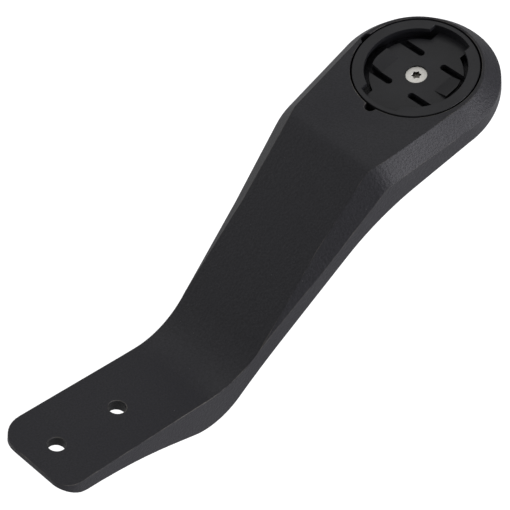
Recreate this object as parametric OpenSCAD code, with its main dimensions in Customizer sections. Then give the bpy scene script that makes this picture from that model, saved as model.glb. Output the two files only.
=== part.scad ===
// Out-front mount for a cycling computer.
// A machined arm bolts under the handlebar by its flat tongue, climbs a ramp and ends in a round head.
// The head holds a moulded bayonet socket, whose floor has two springy detent tongues.
// The parts are drawn with the head level: the socket's axis is Z and the head's top face is z = 0.
// place() then tips them so that the tongue lies flat, with the bolt pattern's centre at the origin.

/* [Arm] */
// Angle between the tongue and the head's top face
head_pitch = 16.9; // [5:0.1:25]
// Angle between the ramp and the head's top face
ramp_angle = 35.8; // [25:0.1:45]
// Distance from the socket's axis back to the bend at the ramp's top
neck_run = 31.1; // [27:0.1:40]
// Level distance that the ramp covers
ramp_run = 49.8; // [40:0.1:70]
// Length of the tongue's top face, from the lower bend to the tail end
tongue_length = 55.4; // [50:0.1:70]
// Width of the tongue
tongue_width = 24.8; // [20:0.1:28]
// Radius of the tongue's left corner at the tail end
tail_left_r = 7.4; // [3:0.1:10]
// Radius of the tongue's right corner at the tail end
tail_right_r = 4.5; // [3:0.1:10]
// Thickness of the tail end's edge
tail_edge = 1.3; // [1:0.1:2.4]
// Radius of the hollow bend between the tongue and the ramp
low_bend_r = 21; // [10:0.5:30]
// Radius of the rounded bend between the ramp and the head
top_bend_r = 7; // [2:0.5:12]
// Thickness of the metal between the top face and the pocket underneath
web = 2.6; // [2:0.1:3.2]
// Thickness of the pocket's side walls
pocket_wall = 3.2; // [2.4:0.1:4]

/* [Bolt holes] */
// Distance between the two bolt holes
bolt_spacing = 19.2; // [16:0.1:24]
// Diameter of each bolt hole
bolt_hole_d = 4.5; // [4.2:0.1:5.5]
// Distance from the tail end to the rear bolt hole
bolt_setback = 8.3; // [8:0.1:12]
// Height of the raised seat under the front bolt hole
seat_h = 0.5; // [0.2:0.1:0.8]
// Diameter of the raised seat under the front bolt hole
seat_d = 9; // [7:0.5:12]

/* [Head] */
// Outer radius of the head
head_r = 21.2; // [21:0.1:24]
// Distance that the head's outline is centred behind the socket's axis
head_back = 0.5; // [0:0.1:0.6]
// Height of the bevel around the head
bevel_h = 4.4; // [2:0.1:4.6]
// Level width of the bevel around the head
bevel_w = 3.9; // [2:0.1:4]
// Depth of the head under the socket's axis
head_depth = 8.6; // [8:0.1:12]
// Slope of the head's underside, which rises towards the front
underside_slope = 0.12; // [0:0.01:0.14]
// Radius of the clocking notches beside the socket
notch_r = 1.6; // [1:0.1:1.8]

/* [Socket] */
// Outer radius of the bayonet socket
socket_r = 16; // [15.6:0.1:16.4]
// Gap between the socket and the arm
socket_gap = 0.3; // [0.05:0.05:0.3]
// Height of the bayonet socket
socket_h = 5.3; // [5.1:0.1:5.6]
// Radius of the opening between the two bayonet lips
lip_r = 12.86; // [12.6:0.02:13]
// Thickness of the bayonet lips
lip_t = 1.2; // [1:0.1:1.4]
// Radius of the hollow under the lips
undercut_r = 14.64; // [14.4:0.02:14.9]
// Width of the straight entry notch between the lips' ends
entry_w = 11.5; // [10.5:0.1:12.5]
// Width of the floor where it joins the wall, at each entry notch
bridge_w = 9.6; // [8:0.1:9.8]
// Depth of the socket's floor below the head's top face
floor_depth = 2.6; // [2.4:0.1:2.8]
// Thickness of the socket's floor
floor_t = 1.6; // [1.4:0.1:1.7]
// Radius of the round floor, inside the windows under the lips
floor_r = 11.75; // [11.5:0.05:12]
// Distance from the axis to each slot's middle line
slot_x = 5.95; // [5.75:0.05:6.3]
// Width of the slots beside the detent tongues
slot_w = 1.8; // [1.2:0.1:1.8]
// Distance from the axis to the slots' inner ends
slot_root = 2.9; // [2.8:0.1:3.4]
// Height of the ramped pad on each detent tongue
pad_h = 0.85; // [0.5:0.05:1]

/* [Screw] */
// Diameter of the screw's thread
screw_d = 3; // [2.5:0.1:3]
// Diameter of the screw's countersunk head
screw_head_d = 5.56; // [5:0.02:5.8]
// Length of the screw, head included
screw_length = 5; // [4.5:0.1:5.3]

/* [Hidden] */
$fn = 96;
eps = 0.01;
past = 30;

// Turning points of the side profile, as [x, z] with the head level
tongue_dir = [cos(head_pitch), -sin(head_pitch)];
tongue_down = [-sin(head_pitch), -cos(head_pitch)];
nose_top = [head_r, 0];
top_bend = [-neck_run, 0];
low_bend = [-neck_run - ramp_run, -ramp_run * tan(ramp_angle)];
tail_top = low_bend - tongue_length * tongue_dir;
bolt_centre = tail_top + (bolt_setback + bolt_spacing / 2) * tongue_dir;

// Turning points of the underside, as distances along the tongue and depths below its top face
tail_wedge = [5.8, 4.0];
tongue_knee = [21.1, 4.3];
low_keel = [51.2, 11.9];
tail_wedge_r = 8;
function under_tongue(p) = tail_top + p[0] * tongue_dir + p[1] * tongue_down;
function under_head(x) = [x, -head_depth + underside_slope * x];
top_keel = under_head(-neck_run - 2.7);
tail_bottom = under_tongue([0, tail_edge]);
knee_r = 125;
low_keel_r = 14;
top_keel_r = 55;

// Half widths of the plan: the tongue narrows a little to a neck, and the neck flares to the head
neck_half = tongue_width / 2 - 0.2;
flare_angle = 6.45;
flare_overlap = 0.03;
flare_x = -head_back - head_r * sin(flare_angle);
function flare_y(x) = (head_r - flare_overlap) / cos(flare_angle) + (x + head_back) * tan(flare_angle);
neck = [(neck_half - flare_y(0)) / tan(flare_angle), neck_half];
neck_r = 250;

// Lower edge of the side bevel, as [x, z], from the head to where it runs out at the foot of the ramp
bevel_slope = atan(bevel_h / bevel_w);
bevel_head = [flare_x, -bevel_h];
bevel_bend = [-neck_run + 1.4, -bevel_h];
bevel_mid = [-neck_run - 19, -bevel_h - 12.9];
bevel_foot = [-neck_run - 41, -41 * tan(ramp_angle)];
bevel_bend_r = 10;
bevel_edge = concat(
    [bevel_head],
    corner(bevel_head, bevel_bend, bevel_mid, bevel_bend_r, 4),
    [bevel_mid, bevel_foot]
);

// Pocket in the underside
pocket_tail = 5.1;
pocket_head = 5;
pocket_corner_r = 4;

recess_r = socket_r + socket_gap;
floor_top = -floor_depth;
floor_bottom = -floor_depth - floor_t;

// Detent tongues: each turns about a barrel at its root
tongue_half = slot_x - slot_w / 2;
barrel_y = slot_root + 1;
barrel_z = floor_top - floor_t / 2;
barrel_r = 1;
barrel_gap = 0.06;
tongue_tip_r = floor_r - 0.3;
pad_foot = 7;
pad_crest = 10.6;
pad_end = 11;
pad_start_x = -1.2;

// Screw
screw_top = floor_top - 0.27;
screw_head_r = screw_head_d / 2;
screw_fit = 0.05;
cone_h = screw_head_r - screw_d / 2;

function unit(v) = v / norm(v);

// Points of the arc of radius r that rounds the corner b between a and c
function corner(a, b, c, r, n) =
    let (
        u = unit(a - b),
        v = unit(c - b),
        half = acos(u * v) / 2,
        centre = b + unit(u + v) * r / sin(half),
        from = b + u * r / tan(half) - centre,
        to = b + v * r / tan(half) - centre,
        start = atan2(from[1], from[0]),
        sweep = (atan2(to[1], to[0]) - start + 540) % 360 - 180
    )
    [for (i = [0:n]) let (t = start + sweep * i / n) centre + r * [cos(t), sin(t)]];

// The corner b between a and c, moved d away from its hollow side
function lowered(a, b, c, d) =
    let (
        u = unit(a - b),
        v = unit(c - b),
        half = acos(u * v) / 2
    )
    b - unit(u + v) * d / sin(half);

// Tips a part drawn with the head level into the mounting frame
module place() {
    rotate([0, -head_pitch, 0])
        translate([-bolt_centre[0], 0, -bolt_centre[1]])
            children();
}

// Extrudes an [x, z] outline across the whole width
module across(width) {
    rotate([90, 0, 0])
        linear_extrude(height = width, center = true)
            children();
}

module side_profile() {
    polygon(concat(
        [tail_top],
        corner(tail_top, low_bend, top_bend, low_bend_r, 12),
        corner(low_bend, top_bend, nose_top, top_bend_r, 6),
        [nose_top, under_head(nose_top[0])],
        corner(under_head(nose_top[0]), top_keel, under_tongue(low_keel), top_keel_r, 10),
        corner(top_keel, under_tongue(low_keel), under_tongue(tongue_knee), low_keel_r, 12),
        corner(under_tongue(low_keel), under_tongue(tongue_knee), under_tongue(tail_wedge), knee_r, 6),
        corner(under_tongue(tongue_knee), under_tongue(tail_wedge), tail_bottom, tail_wedge_r, 4),
        [tail_bottom]
    ));
}

// A closed outline from the points of its left half, given from the front to the tail
function both_sides(left) = concat(left, [for (i = [len(left) - 1:-1:0]) [left[i][0], -left[i][1]]]);

// Plan with the head level, reaching a little past the tail end
module plan() {
    tail = [tail_top[0] - 2, tongue_width / 2 + 0.2];
    flare = [flare_x, flare_y(flare_x)];
    polygon(both_sides(concat([flare], corner(flare, neck, tail, neck_r, 8), [tail])));
    translate([-head_back, 0])
        circle(head_r);
}

// Waste outside the round bevel of the head
module head_bevel_cut() {
    intersection() {
        translate([-head_back, 0, 0])
            rotate_extrude()
                polygon([
                    [head_r + bevel_w, -2 * bevel_h],
                    [head_r - 2 * bevel_w, bevel_h],
                    [head_r + bevel_w, bevel_h]
                ]);
        translate([flare_x, -past, -past])
            cube(2 * past);
    }
}

// Waste outside the bevel along one side of the neck and ramp
module side_bevel_cut() {
    section = [
        [3 * cos(bevel_slope), -3 * sin(bevel_slope)],
        [-9 * cos(bevel_slope), 9 * sin(bevel_slope)],
        [6, 8]
    ];
    points = [for (e = bevel_edge) for (p = section) [e[0], flare_y(e[0]) + p[0], e[1] + p[1]]];
    last = len(points) - 3;
    sides = [
        for (k = [0:3:last - 3])
            for (j = [0:2])
                [k + j, k + 3 + j, k + 3 + (j + 1) % 3, k + (j + 1) % 3]
    ];
    polyhedron(points, concat([[0, 1, 2], [last + 2, last + 1, last]], sides), convexity = 4);
}

// Waste outside the tongue's left corner, rounded to radius r and cut square to the tongue
module tail_corner_cut(r) {
    side = tongue_width / 2 + 0.1;
    translate([tail_top[0], 0, tail_top[1]])
        rotate([0, head_pitch, 0])
            translate([0, side - r, -past / 2])
                linear_extrude(height = past)
                    difference() {
                        translate([-5, 0])
                            square([5 + r, r + 5]);
                        translate([r, 0])
                            circle(r);
                    }
}

// Pocket in the underside, which leaves a web of even thickness under the top face
module pocket() {
    tail_web = tail_top + pocket_tail * tongue_dir + web * tongue_down;
    bend_web = lowered(tail_top, low_bend, top_bend, web);
    head_web = top_bend - web * [-sin(ramp_angle), cos(ramp_angle)];
    tail = [tail_web[0], neck_half - pocket_wall];
    bend = neck - [0, pocket_wall];
    head_x = -neck_run - pocket_head;
    head = [head_x, flare_y(head_x) - pocket_wall];
    intersection() {
        across(4 * past)
            polygon(concat(
                [tail_web],
                corner(tail_web, bend_web, head_web, low_bend_r + web, 12),
                [head_web, head_web - [0, past], tail_web - [0, 2 * past]]
            ));
        translate([0, 0, -2 * past])
            linear_extrude(height = 2 * past)
                polygon(both_sides(concat(
                    corner([head[0], 0], head, bend, pocket_corner_r, 6),
                    corner(head, bend, tail, neck_r, 6),
                    corner(bend, tail, [tail[0], 0], pocket_corner_r, 6)
                )));
    }
}

// Thicker metal around the front bolt hole
module bolt_seat() {
    translate([bolt_centre[0], 0, bolt_centre[1]])
        rotate([0, head_pitch, 0])
            translate([bolt_spacing / 2, 0, -web - seat_h])
                cylinder(h = web, d = seat_d);
}

// Bolt holes, square to the tongue
module bolt_holes() {
    for (s = [-1, 1])
        translate([bolt_centre[0], 0, bolt_centre[1]])
            rotate([0, head_pitch, 0])
                translate([s * bolt_spacing / 2, 0, 0])
                    cylinder(h = past, d = bolt_hole_d, center = true);
}

// Hollow for the socket, with the rear and left clocking notches and the tapped hole
module socket_recess() {
    translate([0, 0, -socket_h])
        cylinder(h = past, r = recess_r);
    translate([-recess_r, 0, -socket_h / 2])
        cylinder(h = past, r = notch_r, $fn = 32);
    translate([-0.6, recess_r - 0.5, -socket_h / 2])
        cylinder(h = past, r = notch_r, $fn = 32);
    cylinder(h = past, d = screw_d, center = true, $fn = 32);
}

module arm() {
    color([0.13, 0.13, 0.14])
        place()
            difference() {
                intersection() {
                    across(4 * head_r)
                        side_profile();
                    translate([0, 0, -2 * past])
                        linear_extrude(height = 3 * past)
                            plan();
                }
                head_bevel_cut();
                for (side = [[0, tail_left_r], [1, tail_right_r]])
                    mirror([0, side[0], 0]) {
                        side_bevel_cut();
                        tail_corner_cut(side[1]);
                    }
                difference() {
                    pocket();
                    bolt_seat();
                }
                bolt_holes();
                socket_recess();
            }
}

// Slot with a round inner end, which runs out past the floor's edge
module slot() {
    end = [for (t = [180:15:360]) [0, slot_root + slot_w / 2] + slot_w / 2 * [cos(t), sin(t)]];
    polygon(concat(end, [[slot_w / 2, undercut_r], [-slot_w / 2, undercut_r]]));
}

// Floor of the socket: a disc, joined to the wall at the two entry notches
module floor_plan() {
    difference() {
        union() {
            circle(floor_r);
            intersection() {
                circle(undercut_r + 0.2);
                square([4 * undercut_r, bridge_w], center = true);
            }
        }
        for (s = [0, 180])
            rotate(s) {
                translate([-slot_x, 0]) slot();
                translate([slot_x, 0]) slot();
                translate([-slot_x, barrel_y])
                    square([2 * slot_x, undercut_r]);
            }
    }
}

module barrel(r, half) {
    translate([-half, barrel_y, barrel_z])
        rotate([0, 90, 0])
            cylinder(h = 2 * half, r = r, $fn = 48);
}

// Outer wall of the socket, with the two bayonet lips at its top
module socket_wall() {
    difference() {
        translate([0, 0, -socket_h])
            cylinder(h = socket_h, r = socket_r);
        cylinder(h = past, r = undercut_r, center = true);
    }
    difference() {
        translate([0, 0, -lip_t])
            cylinder(h = lip_t, r = undercut_r + 0.2);
        cylinder(h = past, r = lip_r, center = true);
        cube([2 * past, entry_w, past], center = true);
    }
}

module puck_body() {
    color([0.10, 0.10, 0.11])
        place()
            difference() {
                union() {
                    socket_wall();
                    translate([0, 0, floor_bottom])
                        linear_extrude(height = floor_t)
                            floor_plan();
                    translate([0, 0, -socket_h])
                        cylinder(h = socket_h - floor_depth - 0.2, r = screw_head_r + 0.4);
                }
                for (s = [0, 180])
                    rotate(s)
                        barrel(barrel_r + barrel_gap, tongue_half + 0.3);
                translate([0, 0, screw_top - cone_h])
                    cylinder(h = cone_h, r1 = screw_d / 2 + screw_fit, r2 = screw_head_r + screw_fit);
                translate([0, 0, screw_top - eps])
                    cylinder(h = past, r = screw_head_r + screw_fit);
                cylinder(h = past, r = screw_d / 2 + screw_fit, center = true);
            }
}

// Detent tongue on the left, with its ramped pad towards the tip
module detent_tongue() {
    translate([0, 0, floor_bottom])
        linear_extrude(height = floor_t)
            intersection() {
                circle(tongue_tip_r);
                translate([-tongue_half, barrel_y])
                    square([2 * tongue_half, undercut_r]);
            }
    intersection() {
        barrel(barrel_r, tongue_half);
        translate([-tongue_half, barrel_y - 2, floor_bottom])
            cube([2 * tongue_half, 2 + eps, floor_t]);
    }
    intersection() {
        translate([(-pad_start_x - tongue_half) / 2, 0, 0])
            rotate([90, 0, 90])
                linear_extrude(height = tongue_half - pad_start_x, center = true)
                    polygon([
                        [pad_foot, floor_top - eps],
                        [pad_crest, floor_top + pad_h],
                        [pad_end, floor_top + pad_h],
                        [pad_end, floor_top - eps]
                    ]);
        cylinder(h = past, r = tongue_tip_r, center = true);
    }
}

module left_detent_tongue() {
    color([0.12, 0.12, 0.13])
        place()
            detent_tongue();
}

module right_detent_tongue() {
    color([0.12, 0.12, 0.13])
        place()
            rotate(180)
                detent_tongue();
}

// Countersunk screw with a six-pointed socket
module puck_screw() {
    socket_deep = 1.1;
    star = [for (i = [0:11]) (i % 2 == 0 ? 1.2 : 0.88) * [cos(30 * i + 15), sin(30 * i + 15)]];
    color([0.80, 0.80, 0.79])
        place()
            difference() {
                union() {
                    translate([0, 0, screw_top - cone_h])
                        cylinder(h = cone_h, r1 = screw_d / 2 - screw_fit, r2 = screw_head_r - screw_fit);
                    translate([0, 0, screw_top - screw_length])
                        cylinder(h = screw_length - cone_h + eps, r = screw_d / 2 - screw_fit);
                }
                translate([0, 0, screw_top - socket_deep])
                    linear_extrude(height = past)
                        polygon(star);
            }
}

arm();
puck_body();
left_detent_tongue();
right_detent_tongue();
puck_screw();
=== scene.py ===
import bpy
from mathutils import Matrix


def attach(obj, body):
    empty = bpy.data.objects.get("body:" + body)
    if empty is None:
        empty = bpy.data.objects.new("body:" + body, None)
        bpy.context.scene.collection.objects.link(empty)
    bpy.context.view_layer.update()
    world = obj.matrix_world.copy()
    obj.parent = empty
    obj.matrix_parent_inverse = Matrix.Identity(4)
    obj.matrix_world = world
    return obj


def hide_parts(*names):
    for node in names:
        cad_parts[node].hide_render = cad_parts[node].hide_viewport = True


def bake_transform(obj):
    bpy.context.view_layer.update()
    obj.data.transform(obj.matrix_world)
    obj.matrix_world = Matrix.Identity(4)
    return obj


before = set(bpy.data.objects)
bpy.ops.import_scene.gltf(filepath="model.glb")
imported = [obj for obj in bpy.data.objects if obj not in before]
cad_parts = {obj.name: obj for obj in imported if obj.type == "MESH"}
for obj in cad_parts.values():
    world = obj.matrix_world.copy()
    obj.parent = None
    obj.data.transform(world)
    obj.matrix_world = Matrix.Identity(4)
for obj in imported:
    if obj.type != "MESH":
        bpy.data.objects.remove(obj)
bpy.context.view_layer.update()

import math

import bmesh
import bpy
from mathutils import Matrix, Vector

# Shapes are drawn in millimetres with the head level and the socket's axis on Z; the head's top
# face is z = 0. PLACE tips them onto the mounting frame and turns them into metres.
MM = 0.001
HEAD_PITCH = math.radians(16.9)
BOLT_CENTRE = Vector((-116.7805, 0, -25.01556))
TIP = Matrix.Rotation(-HEAD_PITCH, 4, "Y")
PLACE = Matrix.Scale(MM, 4) @ TIP @ Matrix.Translation(-BOLT_CENTRE)

scene = bpy.context.scene


# ---------------------------------------------------------------- camera, light and floor
SENSOR_WIDTH, FOCAL_LENGTH = 36, 158.7
CAMERA_TURN, CAMERA_HEIGHT, CAMERA_ROLL = -37.139, 52.674, -10.112
CAMERA_OFFSET = Vector((-39.565, -46.245, 553.312))
LIT_POINT = Vector((0.045, 0, 0.02))
FLOOR_LEVEL, FLOOR_REACH = -0.06, 4
FLOOR_COLOUR, FLOOR_GLOW = (0.85, 0.85, 0.85, 1), 0.5
WORLD_STRENGTH = 0.36
WHITE, COOL = (1, 1, 1), (0.95, 0.94, 1)


def make_camera():
    """The camera at the photograph's angle. It is turned in degrees and set back in millimetres from
    the drawing's origin, along its own axes."""
    data = bpy.data.cameras.new("camera")
    data.sensor_width = SENSOR_WIDTH
    data.lens = FOCAL_LENGTH
    turn = (
        Matrix.Rotation(math.radians(CAMERA_TURN), 4, "Z")
        @ Matrix.Rotation(math.radians(90 - CAMERA_HEIGHT), 4, "X")
        @ Matrix.Rotation(math.radians(CAMERA_ROLL), 4, "Z")
    )
    at = turn @ CAMERA_OFFSET
    cam = bpy.data.objects.new("camera", data)
    scene.collection.objects.link(cam)
    cam.matrix_world = Matrix.Translation(PLACE @ at) @ (TIP @ turn)
    scene.camera = cam


def make_light(name, direction, distance, size, power, colour):
    """A round soft light, facing the middle of the arm from this direction."""
    data = bpy.data.lights.new(name, "AREA")
    data.shape = "DISK"
    data.size = size
    data.energy = power
    data.color = colour
    light = bpy.data.objects.new(name, data)
    scene.collection.objects.link(light)
    back = Vector(direction).normalized()
    light.location = LIT_POINT + back * distance
    light.rotation_mode = "QUATERNION"
    light.rotation_quaternion = back.to_track_quat("Z", "Y")


def make_world(strength):
    world = bpy.data.worlds.new("studio")
    scene.world = world
    world.use_nodes = True
    background = world.node_tree.nodes["Background"]
    background.inputs["Color"].default_value = (1, 1, 1, 1)
    background.inputs["Strength"].default_value = strength


def make_floor(level, reach):
    """A plain pale floor, which is clear from below so that the underside can be looked at. It glows
    for the camera only, so that it is as pale as a studio's paper and lights nothing from below."""
    mesh = bpy.data.meshes.new("floor")
    corners = [(x * reach, y * reach, level) for x, y in ((-1, -1), (1, -1), (1, 1), (-1, 1))]
    mesh.from_pydata(corners, [], [(0, 1, 2, 3)])
    floor = bpy.data.objects.new("floor", mesh)
    scene.collection.objects.link(floor)
    mat = bpy.data.materials.new("floor")
    mat.use_nodes = True
    tree = mat.node_tree
    bsdf = tree.nodes["Principled BSDF"]
    bsdf.inputs["Base Color"].default_value = FLOOR_COLOUR
    bsdf.inputs["Roughness"].default_value = 0.9
    bsdf.inputs["Specular IOR Level"].default_value = 0.1
    bsdf.inputs["Emission Color"].default_value = (1, 1, 1, 1)
    sight = tree.nodes.new("ShaderNodeLightPath")
    glow = tree.nodes.new("ShaderNodeMath")
    glow.operation = "MULTIPLY"
    glow.inputs[1].default_value = FLOOR_GLOW
    tree.links.new(sight.outputs["Is Camera Ray"], glow.inputs[0])
    tree.links.new(glow.outputs[0], bsdf.inputs["Emission Strength"])
    clear = tree.nodes.new("ShaderNodeBsdfTransparent")
    side = tree.nodes.new("ShaderNodeNewGeometry")
    mix = tree.nodes.new("ShaderNodeMixShader")
    tree.links.new(side.outputs["Backfacing"], mix.inputs[0])
    tree.links.new(bsdf.outputs[0], mix.inputs[1])
    tree.links.new(clear.outputs[0], mix.inputs[2])
    tree.links.new(mix.outputs[0], tree.nodes["Material Output"].inputs["Surface"])
    mesh.materials.append(mat)


make_camera()
make_world(WORLD_STRENGTH)
make_floor(FLOOR_LEVEL, FLOOR_REACH)
make_light("overhead", (0.05, 0.40, 1.0), 1.6, 1.5, 4.6, WHITE)
make_light("left", (-0.5, 1.0, 0.3), 1.3, 0.5, 2.7, WHITE)
make_light("near_side", (0.28, -1.0, 0.45), 1.3, 0.6, 9.6, COOL)
make_light("front_right", (0.85, -0.95, 0.12), 1.3, 0.8, 4.6, COOL)
scene.view_settings.view_transform = "Standard"


# ---------------------------------------------------------------- materials
# Where the arm's colour changes, in metres: its bolt holes, whose walls get painted shade, and the radius
# its edges look to have.
BOLT_SPACING, BOLT_HOLE_R, EDGE_R = 0.0192, 0.00225, 0.0004
BOLT_HOLE_MARGIN, BOLT_HOLE_LIP = 0.00005, -0.0004
BLACK_DARK, BLACK_LIGHT = (0.0118, 0.0117, 0.0142), (0.0231, 0.0227, 0.0272)
BLACK_CLOUD = (0.0172, 0.0170, 0.0213)
# The lighter edge tone is partly anodising rubbed thin and partly a painted highlight.
# The near-black tone is painted shade on the walls of the bolt holes.
SPECK, RUBBED_AND_HIGHLIGHT, BOLT_HOLE_SHADE = (0.16, 0.16, 0.16), (0.125, 0.116, 0.102), (0.002, 0.002, 0.0025)
NYLON_DARK, NYLON_LIGHT = (0.0105, 0.0105, 0.0122), (0.0145, 0.0145, 0.0168)
NYLON_SPECK = (0.12, 0.12, 0.12)
STEEL_DARK, STEEL_LIGHT = (0.52, 0.505, 0.475), (0.70, 0.685, 0.65)
# Darker steel tones that paint shade into the screw's socket.
SOCKET_SHADE_DARK, SOCKET_SHADE_LIGHT = (0.10, 0.094, 0.085), (0.26, 0.245, 0.22)


class Material:
    """Builds one procedural material. Scales and distances are in metres."""

    def __init__(self, name, specular=0.5, metallic=0.0):
        self.mat = bpy.data.materials.new(name)
        self.mat.use_nodes = True
        self.tree = self.mat.node_tree
        self.bsdf = self.tree.nodes["Principled BSDF"]
        self.bsdf.inputs["Specular IOR Level"].default_value = specular
        self.bsdf.inputs["Metallic"].default_value = metallic
        self.place = self.tree.nodes.new("ShaderNodeTexCoord").outputs["Object"]

    def noise(self, size, detail=2.0, rough=0.5):
        node = self.tree.nodes.new("ShaderNodeTexNoise")
        node.inputs["Scale"].default_value = 1 / size
        node.inputs["Detail"].default_value = detail
        node.inputs["Roughness"].default_value = rough
        self.tree.links.new(self.place, node.inputs["Vector"])
        return node.outputs["Fac"]

    def cells(self, size):
        node = self.tree.nodes.new("ShaderNodeTexVoronoi")
        node.inputs["Scale"].default_value = 1 / size
        self.tree.links.new(self.place, node.inputs["Vector"])
        return node.outputs["Distance"]

    def ramp(self, source, *stops):
        node = self.tree.nodes.new("ShaderNodeValToRGB")
        elements = node.color_ramp.elements
        while len(elements) < len(stops):
            elements.new(0.5)
        for element, (at, value) in zip(elements, stops):
            element.position = at
            element.color = (*value, 1) if isinstance(value, tuple) else (value, value, value, 1)
        self.tree.links.new(source, node.inputs["Fac"])
        return node.outputs["Color"]

    def feed(self, socket, value):
        """Links a node's output to a socket, or sets the socket to a colour or a number."""
        if isinstance(value, bpy.types.NodeSocket):
            self.tree.links.new(value, socket)
        elif isinstance(value, tuple):
            socket.default_value = (*value, 1)
        else:
            socket.default_value = value

    def mix(self, share, a, b):
        node = self.tree.nodes.new("ShaderNodeMix")
        node.data_type = "RGBA"
        for socket, value in ((node.inputs[0], share), (node.inputs[6], a), (node.inputs[7], b)):
            self.feed(socket, value)
        return node.outputs[2]

    def math(self, operation, a, b):
        node = self.tree.nodes.new("ShaderNodeMath")
        node.operation = operation
        for socket, value in zip(node.inputs, (a, b)):
            self.feed(socket, value)
        return node.outputs[0]

    def bump(self, height, strength, distance, under=None):
        node = self.tree.nodes.new("ShaderNodeBump")
        node.inputs["Strength"].default_value = strength
        node.inputs["Distance"].default_value = distance
        self.tree.links.new(height, node.inputs["Height"])
        if under is not None:
            self.tree.links.new(under, node.inputs["Normal"])
        return node.outputs["Normal"]

    def rounded_edges(self, radius):
        """The normal that edges of this radius would have, and how far it is off the face's own."""
        bevel = self.tree.nodes.new("ShaderNodeBevel")
        bevel.samples = 8
        bevel.inputs["Radius"].default_value = radius
        face = self.tree.nodes.new("ShaderNodeNewGeometry")
        dot = self.tree.nodes.new("ShaderNodeVectorMath")
        dot.operation = "DOT_PRODUCT"
        self.tree.links.new(bevel.outputs["Normal"], dot.inputs[0])
        self.tree.links.new(face.outputs["Normal"], dot.inputs[1])
        return bevel.outputs["Normal"], self.math("SUBTRACT", 1.0, dot.outputs["Value"])

    def set(self, **sockets):
        for name, source in sockets.items():
            self.tree.links.new(source, self.bsdf.inputs[name.replace("_", " ")])
        return self.mat


def bolt_hole_shade_mask(m):
    """1 on the walls of the two bolt holes, where shade is painted, and 0 elsewhere. The holes lie on X,
    evenly about the origin."""
    split = m.tree.nodes.new("ShaderNodeSeparateXYZ")
    m.tree.links.new(m.place, split.inputs[0])
    x, y, z = split.outputs
    off = m.math("SUBTRACT", m.math("ABSOLUTE", x, 0.0), BOLT_SPACING / 2)
    square = m.math("ADD", m.math("MULTIPLY", off, off), m.math("MULTIPLY", y, y))
    near = m.math("LESS_THAN", square, (BOLT_HOLE_R + BOLT_HOLE_MARGIN) ** 2)
    deep = m.math("LESS_THAN", z, BOLT_HOLE_LIP)
    return m.math("MULTIPLY", near, deep)


def make_anodised():
    """Bead-blasted aluminium, anodised black: an even grain of small dents, with a few bright specks. Its
    edges look rounded, and along them, in patches, a lighter tone is partly anodising rubbed thin and
    partly a painted highlight. The walls of the bolt holes are painted near black, as painted shade."""
    m = Material("black_bead_blasted_anodising", 0.3)
    dents = m.cells(0.0007)
    grain = m.noise(0.0005, 3.0, 0.65)
    cloud = m.noise(0.018, 3.0, 0.5)
    tone = m.mix(m.ramp(grain, (0.35, 0.0), (0.72, 1.0)), BLACK_DARK, BLACK_LIGHT)
    tone = m.mix(m.ramp(cloud, (0.3, 0.0), (0.7, 0.35)), tone, BLACK_CLOUD)
    tone = m.mix(m.ramp(m.cells(0.0045), (0.0, 1.0), (0.028, 0.0)), tone, SPECK)
    round_normal, edge = m.rounded_edges(EDGE_R)
    # Along the edges, in patches, a lighter tone: partly rubbed anodising, partly a painted highlight.
    patches = m.ramp(m.noise(0.007, 5.0, 0.6), (0.42, 0.06), (0.66, 1.0))
    rubbed_and_highlight = m.math("MULTIPLY", patches, m.ramp(edge, (0.005, 0.0), (0.07, 1.0)))
    tone = m.mix(rubbed_and_highlight, tone, RUBBED_AND_HIGHLIGHT)
    return m.set(
        # The walls of the bolt holes are painted near black: painted shade.
        Base_Color=m.mix(bolt_hole_shade_mask(m), tone, BOLT_HOLE_SHADE),
        Roughness=m.ramp(cloud, (0.3, 0.44), (0.7, 0.54)),
        Normal=m.bump(grain, 0.7, 0.0001, m.bump(dents, 0.5, 0.00008, round_normal)),
    )


def make_moulding():
    """Matte black nylon with a fine spark-eroded texture."""
    m = Material("matte_black_moulding", 0.3)
    grain = m.noise(0.00022, 2.0, 0.6)
    cloud = m.noise(0.006, 3.0, 0.5)
    specks = m.ramp(m.cells(0.0032), (0.0, 1.0), (0.024, 0.0))
    tone = m.ramp(cloud, (0.3, NYLON_DARK), (0.7, NYLON_LIGHT))
    return m.set(
        Base_Color=m.mix(specks, tone, NYLON_SPECK),
        Roughness=m.ramp(grain, (0.3, 0.36), (0.7, 0.48)),
        Normal=m.bump(grain, 0.35, 0.00002),
    )


def make_steel():
    """Satin stainless steel, a little mottled."""
    m = Material("satin_stainless_steel", metallic=1.0)
    mottle = m.noise(0.0006, 3.0, 0.6)
    return m.set(
        Base_Color=m.ramp(mottle, (0.3, STEEL_DARK), (0.7, STEEL_LIGHT)),
        Roughness=m.ramp(mottle, (0.3, 0.38), (0.7, 0.5)),
        Normal=m.bump(m.noise(0.0003), 0.25, 0.00002),
    )


def make_screw_socket_shade():
    """The inside of the screw's socket: a darker, duller steel, painted shade for the recess."""
    m = Material("screw_socket_painted_shade", metallic=1.0)
    mottle = m.noise(0.0004, 3.0, 0.6)
    return m.set(
        Base_Color=m.ramp(mottle, (0.3, SOCKET_SHADE_DARK), (0.7, SOCKET_SHADE_LIGHT)),
        Roughness=m.ramp(mottle, (0.3, 0.32), (0.7, 0.5)),
        Normal=m.bump(mottle, 0.3, 0.00002),
    )


ANODISED, MOULDING, STEEL = make_anodised(), make_moulding(), make_steel()
SCREW_SOCKET_SHADE = make_screw_socket_shade()


# ---------------------------------------------------------------- mesh helpers
SAME_POINT, SMOOTH_ANGLE = 1e-5, 35


def polar(r, degrees, z=0.0):
    t = math.radians(degrees)
    return Vector((r * math.cos(t), r * math.sin(t), z))


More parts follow.
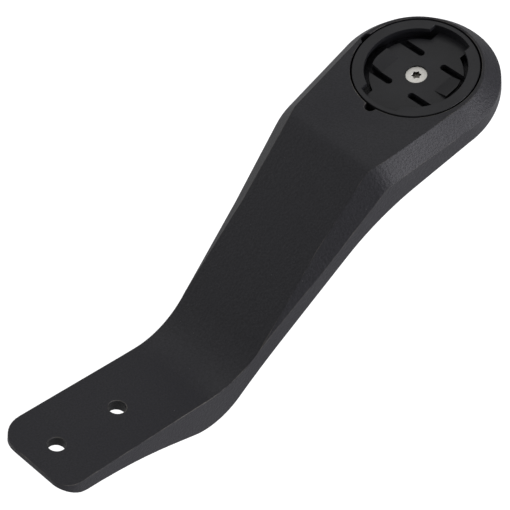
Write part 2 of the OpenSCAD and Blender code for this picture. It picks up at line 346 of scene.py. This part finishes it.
def arc(centre, r, start, end, steps):
    """Points of an arc, both ends included, as (x, y)."""
    turns = [math.radians(start + (end - start) * i / steps) for i in range(steps + 1)]
    return [(centre[0] + r * math.cos(t), centre[1] + r * math.sin(t)) for t in turns]


def sharp_edges(bm):
    least = math.radians(30)
    return [e for e in bm.edges if len(e.link_faces) == 2 and e.calc_face_angle() > least]


def bevel(bm, edges, width, segments=2):
    bmesh.ops.bevel(
        bm, geom=edges, offset=width, segments=segments, profile=0.5, affect="EDGES", clamp_overlap=True
    )


def finish_piece(bm, name, material, node, body=None):
    """Turns a drawn shape into a piece that stands for a CAD node, and rides on a body when one is given."""
    bmesh.ops.remove_doubles(bm, verts=bm.verts, dist=SAME_POINT)
    bmesh.ops.recalc_face_normals(bm, faces=bm.faces)
    bm.transform(PLACE)
    mesh = bpy.data.meshes.new(name)
    bm.to_mesh(mesh)
    bm.free()
    mesh.materials.append(material)
    for polygon in mesh.polygons:
        polygon.use_smooth = True
    mesh.set_sharp_from_angle(angle=math.radians(SMOOTH_ANGLE))
    piece = bpy.data.objects.new(name, mesh)
    scene.collection.objects.link(piece)
    weighted = piece.modifiers.new("shading", "WEIGHTED_NORMAL")
    weighted.keep_sharp = True
    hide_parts(node)
    if body:
        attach(piece, body)
    return piece


def lathe(bm, profile, steps):
    """Turns (r, z) points about the socket's axis. A point on the axis closes the shape."""
    rings = []
    for r, z in profile:
        if r == 0:
            rings.append([bm.verts.new((0, 0, z))])
        else:
            rings.append([bm.verts.new(polar(r, 360 * i / steps, z)) for i in range(steps)])
    for a, b in zip(rings, rings[1:]):
        for i in range(steps):
            j = (i + 1) % steps
            if len(a) == 1:
                bm.faces.new((a[0], b[j], b[i]))
            elif len(b) == 1:
                bm.faces.new((a[i], a[j], b[0]))
            else:
                bm.faces.new((a[i], a[j], b[j], b[i]))
    return rings


# ---------------------------------------------------------------- the socket
SOCKET_R, SOCKET_H = 15.82, 5.3
LIP_R, LIP_T, UNDERCUT_R = 12.86, 1.2, 14.64
ENTRY_HALF, BRIDGE_HALF = 5.75, 4.8
FLOOR_TOP, FLOOR_BOTTOM = -2.6, -4.2
FLOOR_R, TIP_R = 11.75, 11.45
SLOT_IN, SLOT_OUT, SLOT_ROOT = 5.05, 6.85, 2.9
SLOT_MID, SLOT_HALF = (SLOT_IN + SLOT_OUT) / 2, (SLOT_OUT - SLOT_IN) / 2
SEAM = SLOT_ROOT + SLOT_HALF
PAD_FOOT, PAD_CREST, PAD_END, PAD_H, PAD_SIDE = 7.0, 10.6, 11.0, 0.85, 1.2
PAD_INSET = 0.14
SCREW_TOP, SCREW_R, SHANK_R, SCREW_LENGTH = FLOOR_TOP - 0.27, 2.73, 1.45, 5.0
SCREW_HOLE_R, BOSS_R = SHANK_R + 0.1, 3.18
THREAD_PITCH, THREAD_DEPTH = 0.5, 0.25
ENTRY_STEPS, LIP_STEPS = 12, 40
RING_BEVEL, RIM_BEVEL, FLOOR_BEVEL, PAD_BEVEL = 0.13, 0.18, 0.12, 0.08


def on_rim(edge):
    """Whether an edge is on the outside of the socket's top."""
    return all(v.co.z > -0.01 and v.co.xy.length > SOCKET_R - 0.01 for v in edge.verts)


def make_ring():
    """The socket's wall with the two bayonet lips, and the boss under its floor."""
    bm = bmesh.new()
    end = math.degrees(math.asin(ENTRY_HALF / UNDERCUT_R))
    tip = math.degrees(math.asin(ENTRY_HALF / LIP_R))
    spans = []
    for base in (0, 180):
        spans.append((base - end, base + end, ENTRY_STEPS, False))
        spans.append((base + end, base + 180 - end, LIP_STEPS, True))
    stations = [(a + (b - a) * i / n, lip) for a, b, n, lip in spans for i in range(n)]
    count = len(stations)
    outer_top = [bm.verts.new(polar(SOCKET_R, t)) for t, _ in stations]
    outer_low = [bm.verts.new(polar(SOCKET_R, t, -SOCKET_H)) for t, _ in stations]
    inner_top = [bm.verts.new(polar(UNDERCUT_R, t)) for t, _ in stations]
    inner_low = [bm.verts.new(polar(UNDERCUT_R, t, -SOCKET_H)) for t, _ in stations]
    under = {}

    def hidden(i):
        if i not in under:
            under[i] = bm.verts.new(polar(UNDERCUT_R, stations[i][0], -LIP_T))
        return under[i]

    for i in range(count):
        j = (i + 1) % count
        bm.faces.new((outer_top[i], outer_low[i], outer_low[j], outer_top[j]))
        bm.faces.new((outer_top[i], outer_top[j], inner_top[j], inner_top[i]))
        bm.faces.new((outer_low[i], inner_low[i], inner_low[j], outer_low[j]))
        if stations[i][1]:
            bm.faces.new((hidden(i), hidden(j), inner_low[j], inner_low[i]))
    first = 0
    for a, b, n, lip in spans:
        ids = [(first + i) % count for i in range(n + 1)]
        first += n
        if lip:
            centre = (a + b) / 2
            reach = (b - a) / 2 - (tip - end)
            turns = [centre + reach * (2 * i / n - 1) for i in range(n + 1)]
            lip_top = [bm.verts.new(polar(LIP_R, t)) for t in turns]
            lip_low = [bm.verts.new(polar(LIP_R, t, -LIP_T)) for t in turns]
            for i in range(n):
                p, q = ids[i], ids[i + 1]
                bm.faces.new((inner_top[p], inner_top[q], lip_top[i + 1], lip_top[i]))
                bm.faces.new((lip_top[i], lip_top[i + 1], lip_low[i + 1], lip_low[i]))
                bm.faces.new((lip_low[i], lip_low[i + 1], hidden(q), hidden(p)))
            for i in (0, n):
                bm.faces.new((inner_top[ids[i]], lip_top[i], lip_low[i], hidden(ids[i])))
    first = 0
    for a, b, n, lip in spans:
        ids = [(first + i) % count for i in range(n + 1)]
        first += n
        if not lip:
            for i in range(n):
                p, q = ids[i], ids[i + 1]
                corners = [inner_top[p], inner_top[q]]
                if q in under:
                    corners.append(under[q])
                corners += [inner_low[q], inner_low[p]]
                if p in under:
                    corners.append(under[p])
                bm.faces.new(corners)
    bmesh.ops.recalc_face_normals(bm, faces=bm.faces)
    bevel(bm, [e for e in sharp_edges(bm) if not on_rim(e)], RING_BEVEL)
    bevel(bm, [e for e in sharp_edges(bm) if on_rim(e)], RIM_BEVEL, 3)
    low, high = -SOCKET_H, FLOOR_BOTTOM + 0.1
    boss = [(SCREW_HOLE_R, low), (BOSS_R, low), (BOSS_R, high), (SCREW_HOLE_R, high), (SCREW_HOLE_R, low)]
    lathe(bm, boss, 48)
    return bm


def floor_outline():
    """The socket's floor with both tongues still joined to it, anticlockwise, as (x, y)."""
    bridge_r = UNDERCUT_R + 0.15
    bridge_in = math.degrees(math.asin(BRIDGE_HALF / FLOOR_R))
    bridge_out = math.degrees(math.asin(BRIDGE_HALF / bridge_r))
    slot_edge = math.degrees(math.acos(SLOT_OUT / FLOOR_R))
    tongue_edge = math.degrees(math.acos(SLOT_IN / TIP_R))
    quarter = arc((0, 0), bridge_r, 0, bridge_out, 5)
    quarter += arc((0, 0), FLOOR_R, bridge_in, slot_edge, 8)
    quarter += arc((SLOT_MID, SEAM), SLOT_HALF, 0, -180, 12)
    quarter += arc((0, 0), TIP_R, tongue_edge, 90, 12)
    half = quarter + [(-x, y) for x, y in reversed(quarter[:-1])]
    return half + [(-x, -y) for x, y in half[1:-1]]


def solid_from_outline(bm, outline, low, high):
    """A plate between two levels, with a cap at each."""
    base = [bm.verts.new((x, y, low)) for x, y in outline]
    top = [bm.verts.new((x, y, high)) for x, y in outline]
    bm.faces.new(top)
    bm.faces.new(list(reversed(base)))
    for i in range(len(outline)):
        j = (i + 1) % len(outline)
        bm.faces.new((base[i], base[j], top[j], top[i]))


def cut_across(bm, y):
    """Cuts every face along a line at this y, and removes nothing."""
    geom = bm.verts[:] + bm.edges[:] + bm.faces[:]
    bmesh.ops.bisect_plane(bm, geom=geom, plane_co=(0, y, 0), plane_no=(0, 1, 0), dist=SAME_POINT)


def is_tongue(face, side):
    c = face.calc_center_median()
    return abs(c.x) < SLOT_IN + 0.01 and c.y * side > SEAM and c.xy.length < TIP_R + 0.01


def middle_face(bm, level):
    """The large flat face round the axis at this level."""
    found = []
    for face in bm.faces:
        c = face.calc_center_median()
        if abs(c.z - level) < 1e-4 and abs(face.normal.z) > 0.9 and abs(c.y) < 1:
            found.append(face)
    return max(found, key=lambda face: face.calc_area())


def countersink(bm):
    """Opens the screw's seat through the middle of the floor."""
    sink = SCREW_R + 0.06
    profile = [
        (sink + 0.07, FLOOR_TOP),
        (sink, FLOOR_TOP - 0.07),
        (sink, SCREW_TOP - 0.2),
        (SCREW_HOLE_R, FLOOR_BOTTOM + 0.05),
        (SCREW_HOLE_R, FLOOR_BOTTOM),
    ]
    steps = 64
    middles = [middle_face(bm, FLOOR_TOP), middle_face(bm, FLOOR_BOTTOM)]
    rims = [face.edges[:] for face in middles]
    bmesh.ops.delete(bm, geom=middles, context="FACES_ONLY")
    rings = lathe(bm, profile, steps)
    for rim, ring in ((rims[0], rings[0]), (rims[1], rings[-1])):
        inner = [bm.edges.get((ring[i], ring[(i + 1) % steps])) for i in range(steps)]
        bmesh.ops.triangle_fill(bm, edges=rim + inner, use_beauty=True)


def make_floor_plate(side):
    """The socket's floor, or where side is 1 or -1 the tongue on that side, both cut from one shape."""
    bm = bmesh.new()
    solid_from_outline(bm, floor_outline(), FLOOR_BOTTOM, FLOOR_TOP)
    bmesh.ops.recalc_face_normals(bm, faces=bm.faces)
    edges = [e for e in sharp_edges(bm) if all(v.co.xy.length < FLOOR_R + 0.01 for v in e.verts)]
    bevel(bm, edges, FLOOR_BEVEL)
    bends = [SEAM + step for step in (0.3, 0.6, 0.9, 1.2, 1.5)] + [PAD_FOOT]
    for s in (1, -1):
        for y in [SEAM] + (bends if side else []):
            cut_across(bm, s * y)
    if side == 0:
        gone = [f for f in bm.faces if is_tongue(f, 1) or is_tongue(f, -1)]
    else:
        gone = [f for f in bm.faces if not is_tongue(f, side)]
    bmesh.ops.delete(bm, geom=gone, context="FACES")
    bmesh.ops.holes_fill(bm, edges=[e for e in bm.edges if len(e.link_faces) == 1], sides=0)
    if side == 0:
        countersink(bm)
    return bm


def make_pad(bm, side):
    """The ramped pad that a lug of the computer rides over, on top of a tongue."""
    outer = math.sqrt(TIP_R**2 - PAD_END**2)
    xs = [PAD_SIDE, 0.0, -1.2, -2.2, -outer, -3.6, -4.4, -(SLOT_IN - PAD_INSET)]
    slope = PAD_H / (PAD_CREST - PAD_FOOT)
    low = FLOOR_TOP - 0.15
    rows = []
    for x in xs:
        end = min(PAD_END, math.sqrt((TIP_R - PAD_INSET) ** 2 - x * x))
        crest = min(PAD_CREST, end - 0.02)
        rise = slope * (crest - PAD_FOOT)
        rows.append([
            (x, PAD_FOOT - 0.4, low),
            (x, PAD_FOOT - 0.05, FLOOR_TOP - 0.02),
            (x, PAD_FOOT + 0.3, FLOOR_TOP + slope * 0.3),
            (x, crest, FLOOR_TOP + rise),
            (x, end, FLOOR_TOP + rise),
            (x, end, low),
        ])
    verts = [[bm.verts.new((side * x, side * y, z)) for x, y, z in row] for row in rows]
    faces = []
    for a, b in zip(verts, verts[1:]):
        for i in range(len(a)):
            j = (i + 1) % len(a)
            faces.append(bm.faces.new((a[i], a[j], b[j], b[i])))
    faces.append(bm.faces.new(verts[0]))
    faces.append(bm.faces.new(list(reversed(verts[-1]))))
    bmesh.ops.recalc_face_normals(bm, faces=faces)
    edges = dict.fromkeys(e for f in faces for e in f.edges)
    proud = [e for e in edges if any(v.co.z > FLOOR_TOP + 0.05 for v in e.verts)]
    bevel(bm, [e for e in proud if e.calc_face_angle() > math.radians(50)], PAD_BEVEL)


def make_screw():
    """Countersunk screw with a six-lobed socket and a ridged shank."""
    steps = 72
    edge, depth, point = 0.07, 0.95, 1.2
    bm = bmesh.new()
    star = [[], [], []]
    for i in range(steps):
        turn = 360 * i / steps
        lobe = 0.5 + 0.5 * math.cos(math.radians(6 * (turn - 15)))
        r = 0.94 + 0.32 * lobe**1.6
        star[0].append(bm.verts.new(polar(r + edge, turn, SCREW_TOP)))
        star[1].append(bm.verts.new(polar(r, turn, SCREW_TOP - edge)))
        star[2].append(bm.verts.new(polar(r, turn, SCREW_TOP - depth)))
    # The socket's walls and bottom take the second material, which paints shade into the recess.
    for a, b in zip(star, star[1:]):
        for i in range(steps):
            j = (i + 1) % steps
            bm.faces.new((a[i], b[i], b[j], a[j])).material_index = int(a is star[1])
    bottom = bm.verts.new((0, 0, SCREW_TOP - point))
    for i in range(steps):
        bm.faces.new((star[2][i], bottom, star[2][(i + 1) % steps])).material_index = 1
    rings = lathe(bm, screw_profile(), steps)
    for i in range(steps):
        j = (i + 1) % steps
        bm.faces.new((rings[0][i], star[0][i], star[0][j], rings[0][j]))
    return bm


def screw_profile():
    """The screw's outside from the edge of its flat head down to its tip, as (r, z)."""
    top, tip = SCREW_TOP, SCREW_TOP - SCREW_LENGTH
    cone = SCREW_R - SHANK_R
    root = SHANK_R - THREAD_DEPTH
    profile = [(SCREW_R - 0.12, top), (SCREW_R - 0.03, top - 0.03), (SCREW_R, top - 0.1)]
    profile += [(SCREW_R, top - 0.18), (SHANK_R, top - 0.18 - cone)]
    z = top - 0.5 - cone
    while z > tip + 0.6:
        profile += [(root, z), (root, z - 0.08), (SHANK_R, z - 0.22), (SHANK_R, z - 0.28)]
        z -= THREAD_PITCH
    return profile + [(SHANK_R - 0.02, tip + 0.35), (SHANK_R - 0.35, tip), (0, tip)]


def add_floor(bm):
    """Joins the floor, with the screw's countersink through it, to the ring."""
    plate = make_floor_plate(0)
    mesh = bpy.data.meshes.new("plate")
    plate.to_mesh(mesh)
    plate.free()
    bm.from_mesh(mesh)
    bpy.data.meshes.remove(mesh)


def add_tongue(name, side, node):
    """One detent tongue, cut from the floor plate at the seam where it leaves the floor."""
    bm = make_floor_plate(side)
    make_pad(bm, side)
    piece = finish_piece(bm, name, MOULDING, node)
    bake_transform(piece)


socket = make_ring()
add_floor(socket)
finish_piece(socket, "bayonet_socket", MOULDING, "puck_body", "bracket")
add_tongue("detent_tongue_left", 1, "left_detent_tongue")
add_tongue("detent_tongue_right", -1, "right_detent_tongue")
screw = finish_piece(make_screw(), "socket_screw", STEEL, "puck_screw", "bracket")
# The second material paints shade into the screw's socket.
screw.data.materials.append(SCREW_SOCKET_SHADE)


# ---------------------------------------------------------------- the arm
def dress_arm():
    """The arm keeps its exact shape, and gets its finish."""
    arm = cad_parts["arm"]
    if not arm.material_slots:
        arm.data.materials.append(ANODISED)
    for s in arm.material_slots:
        s.link = "OBJECT"
        s.material = ANODISED


dress_arm()
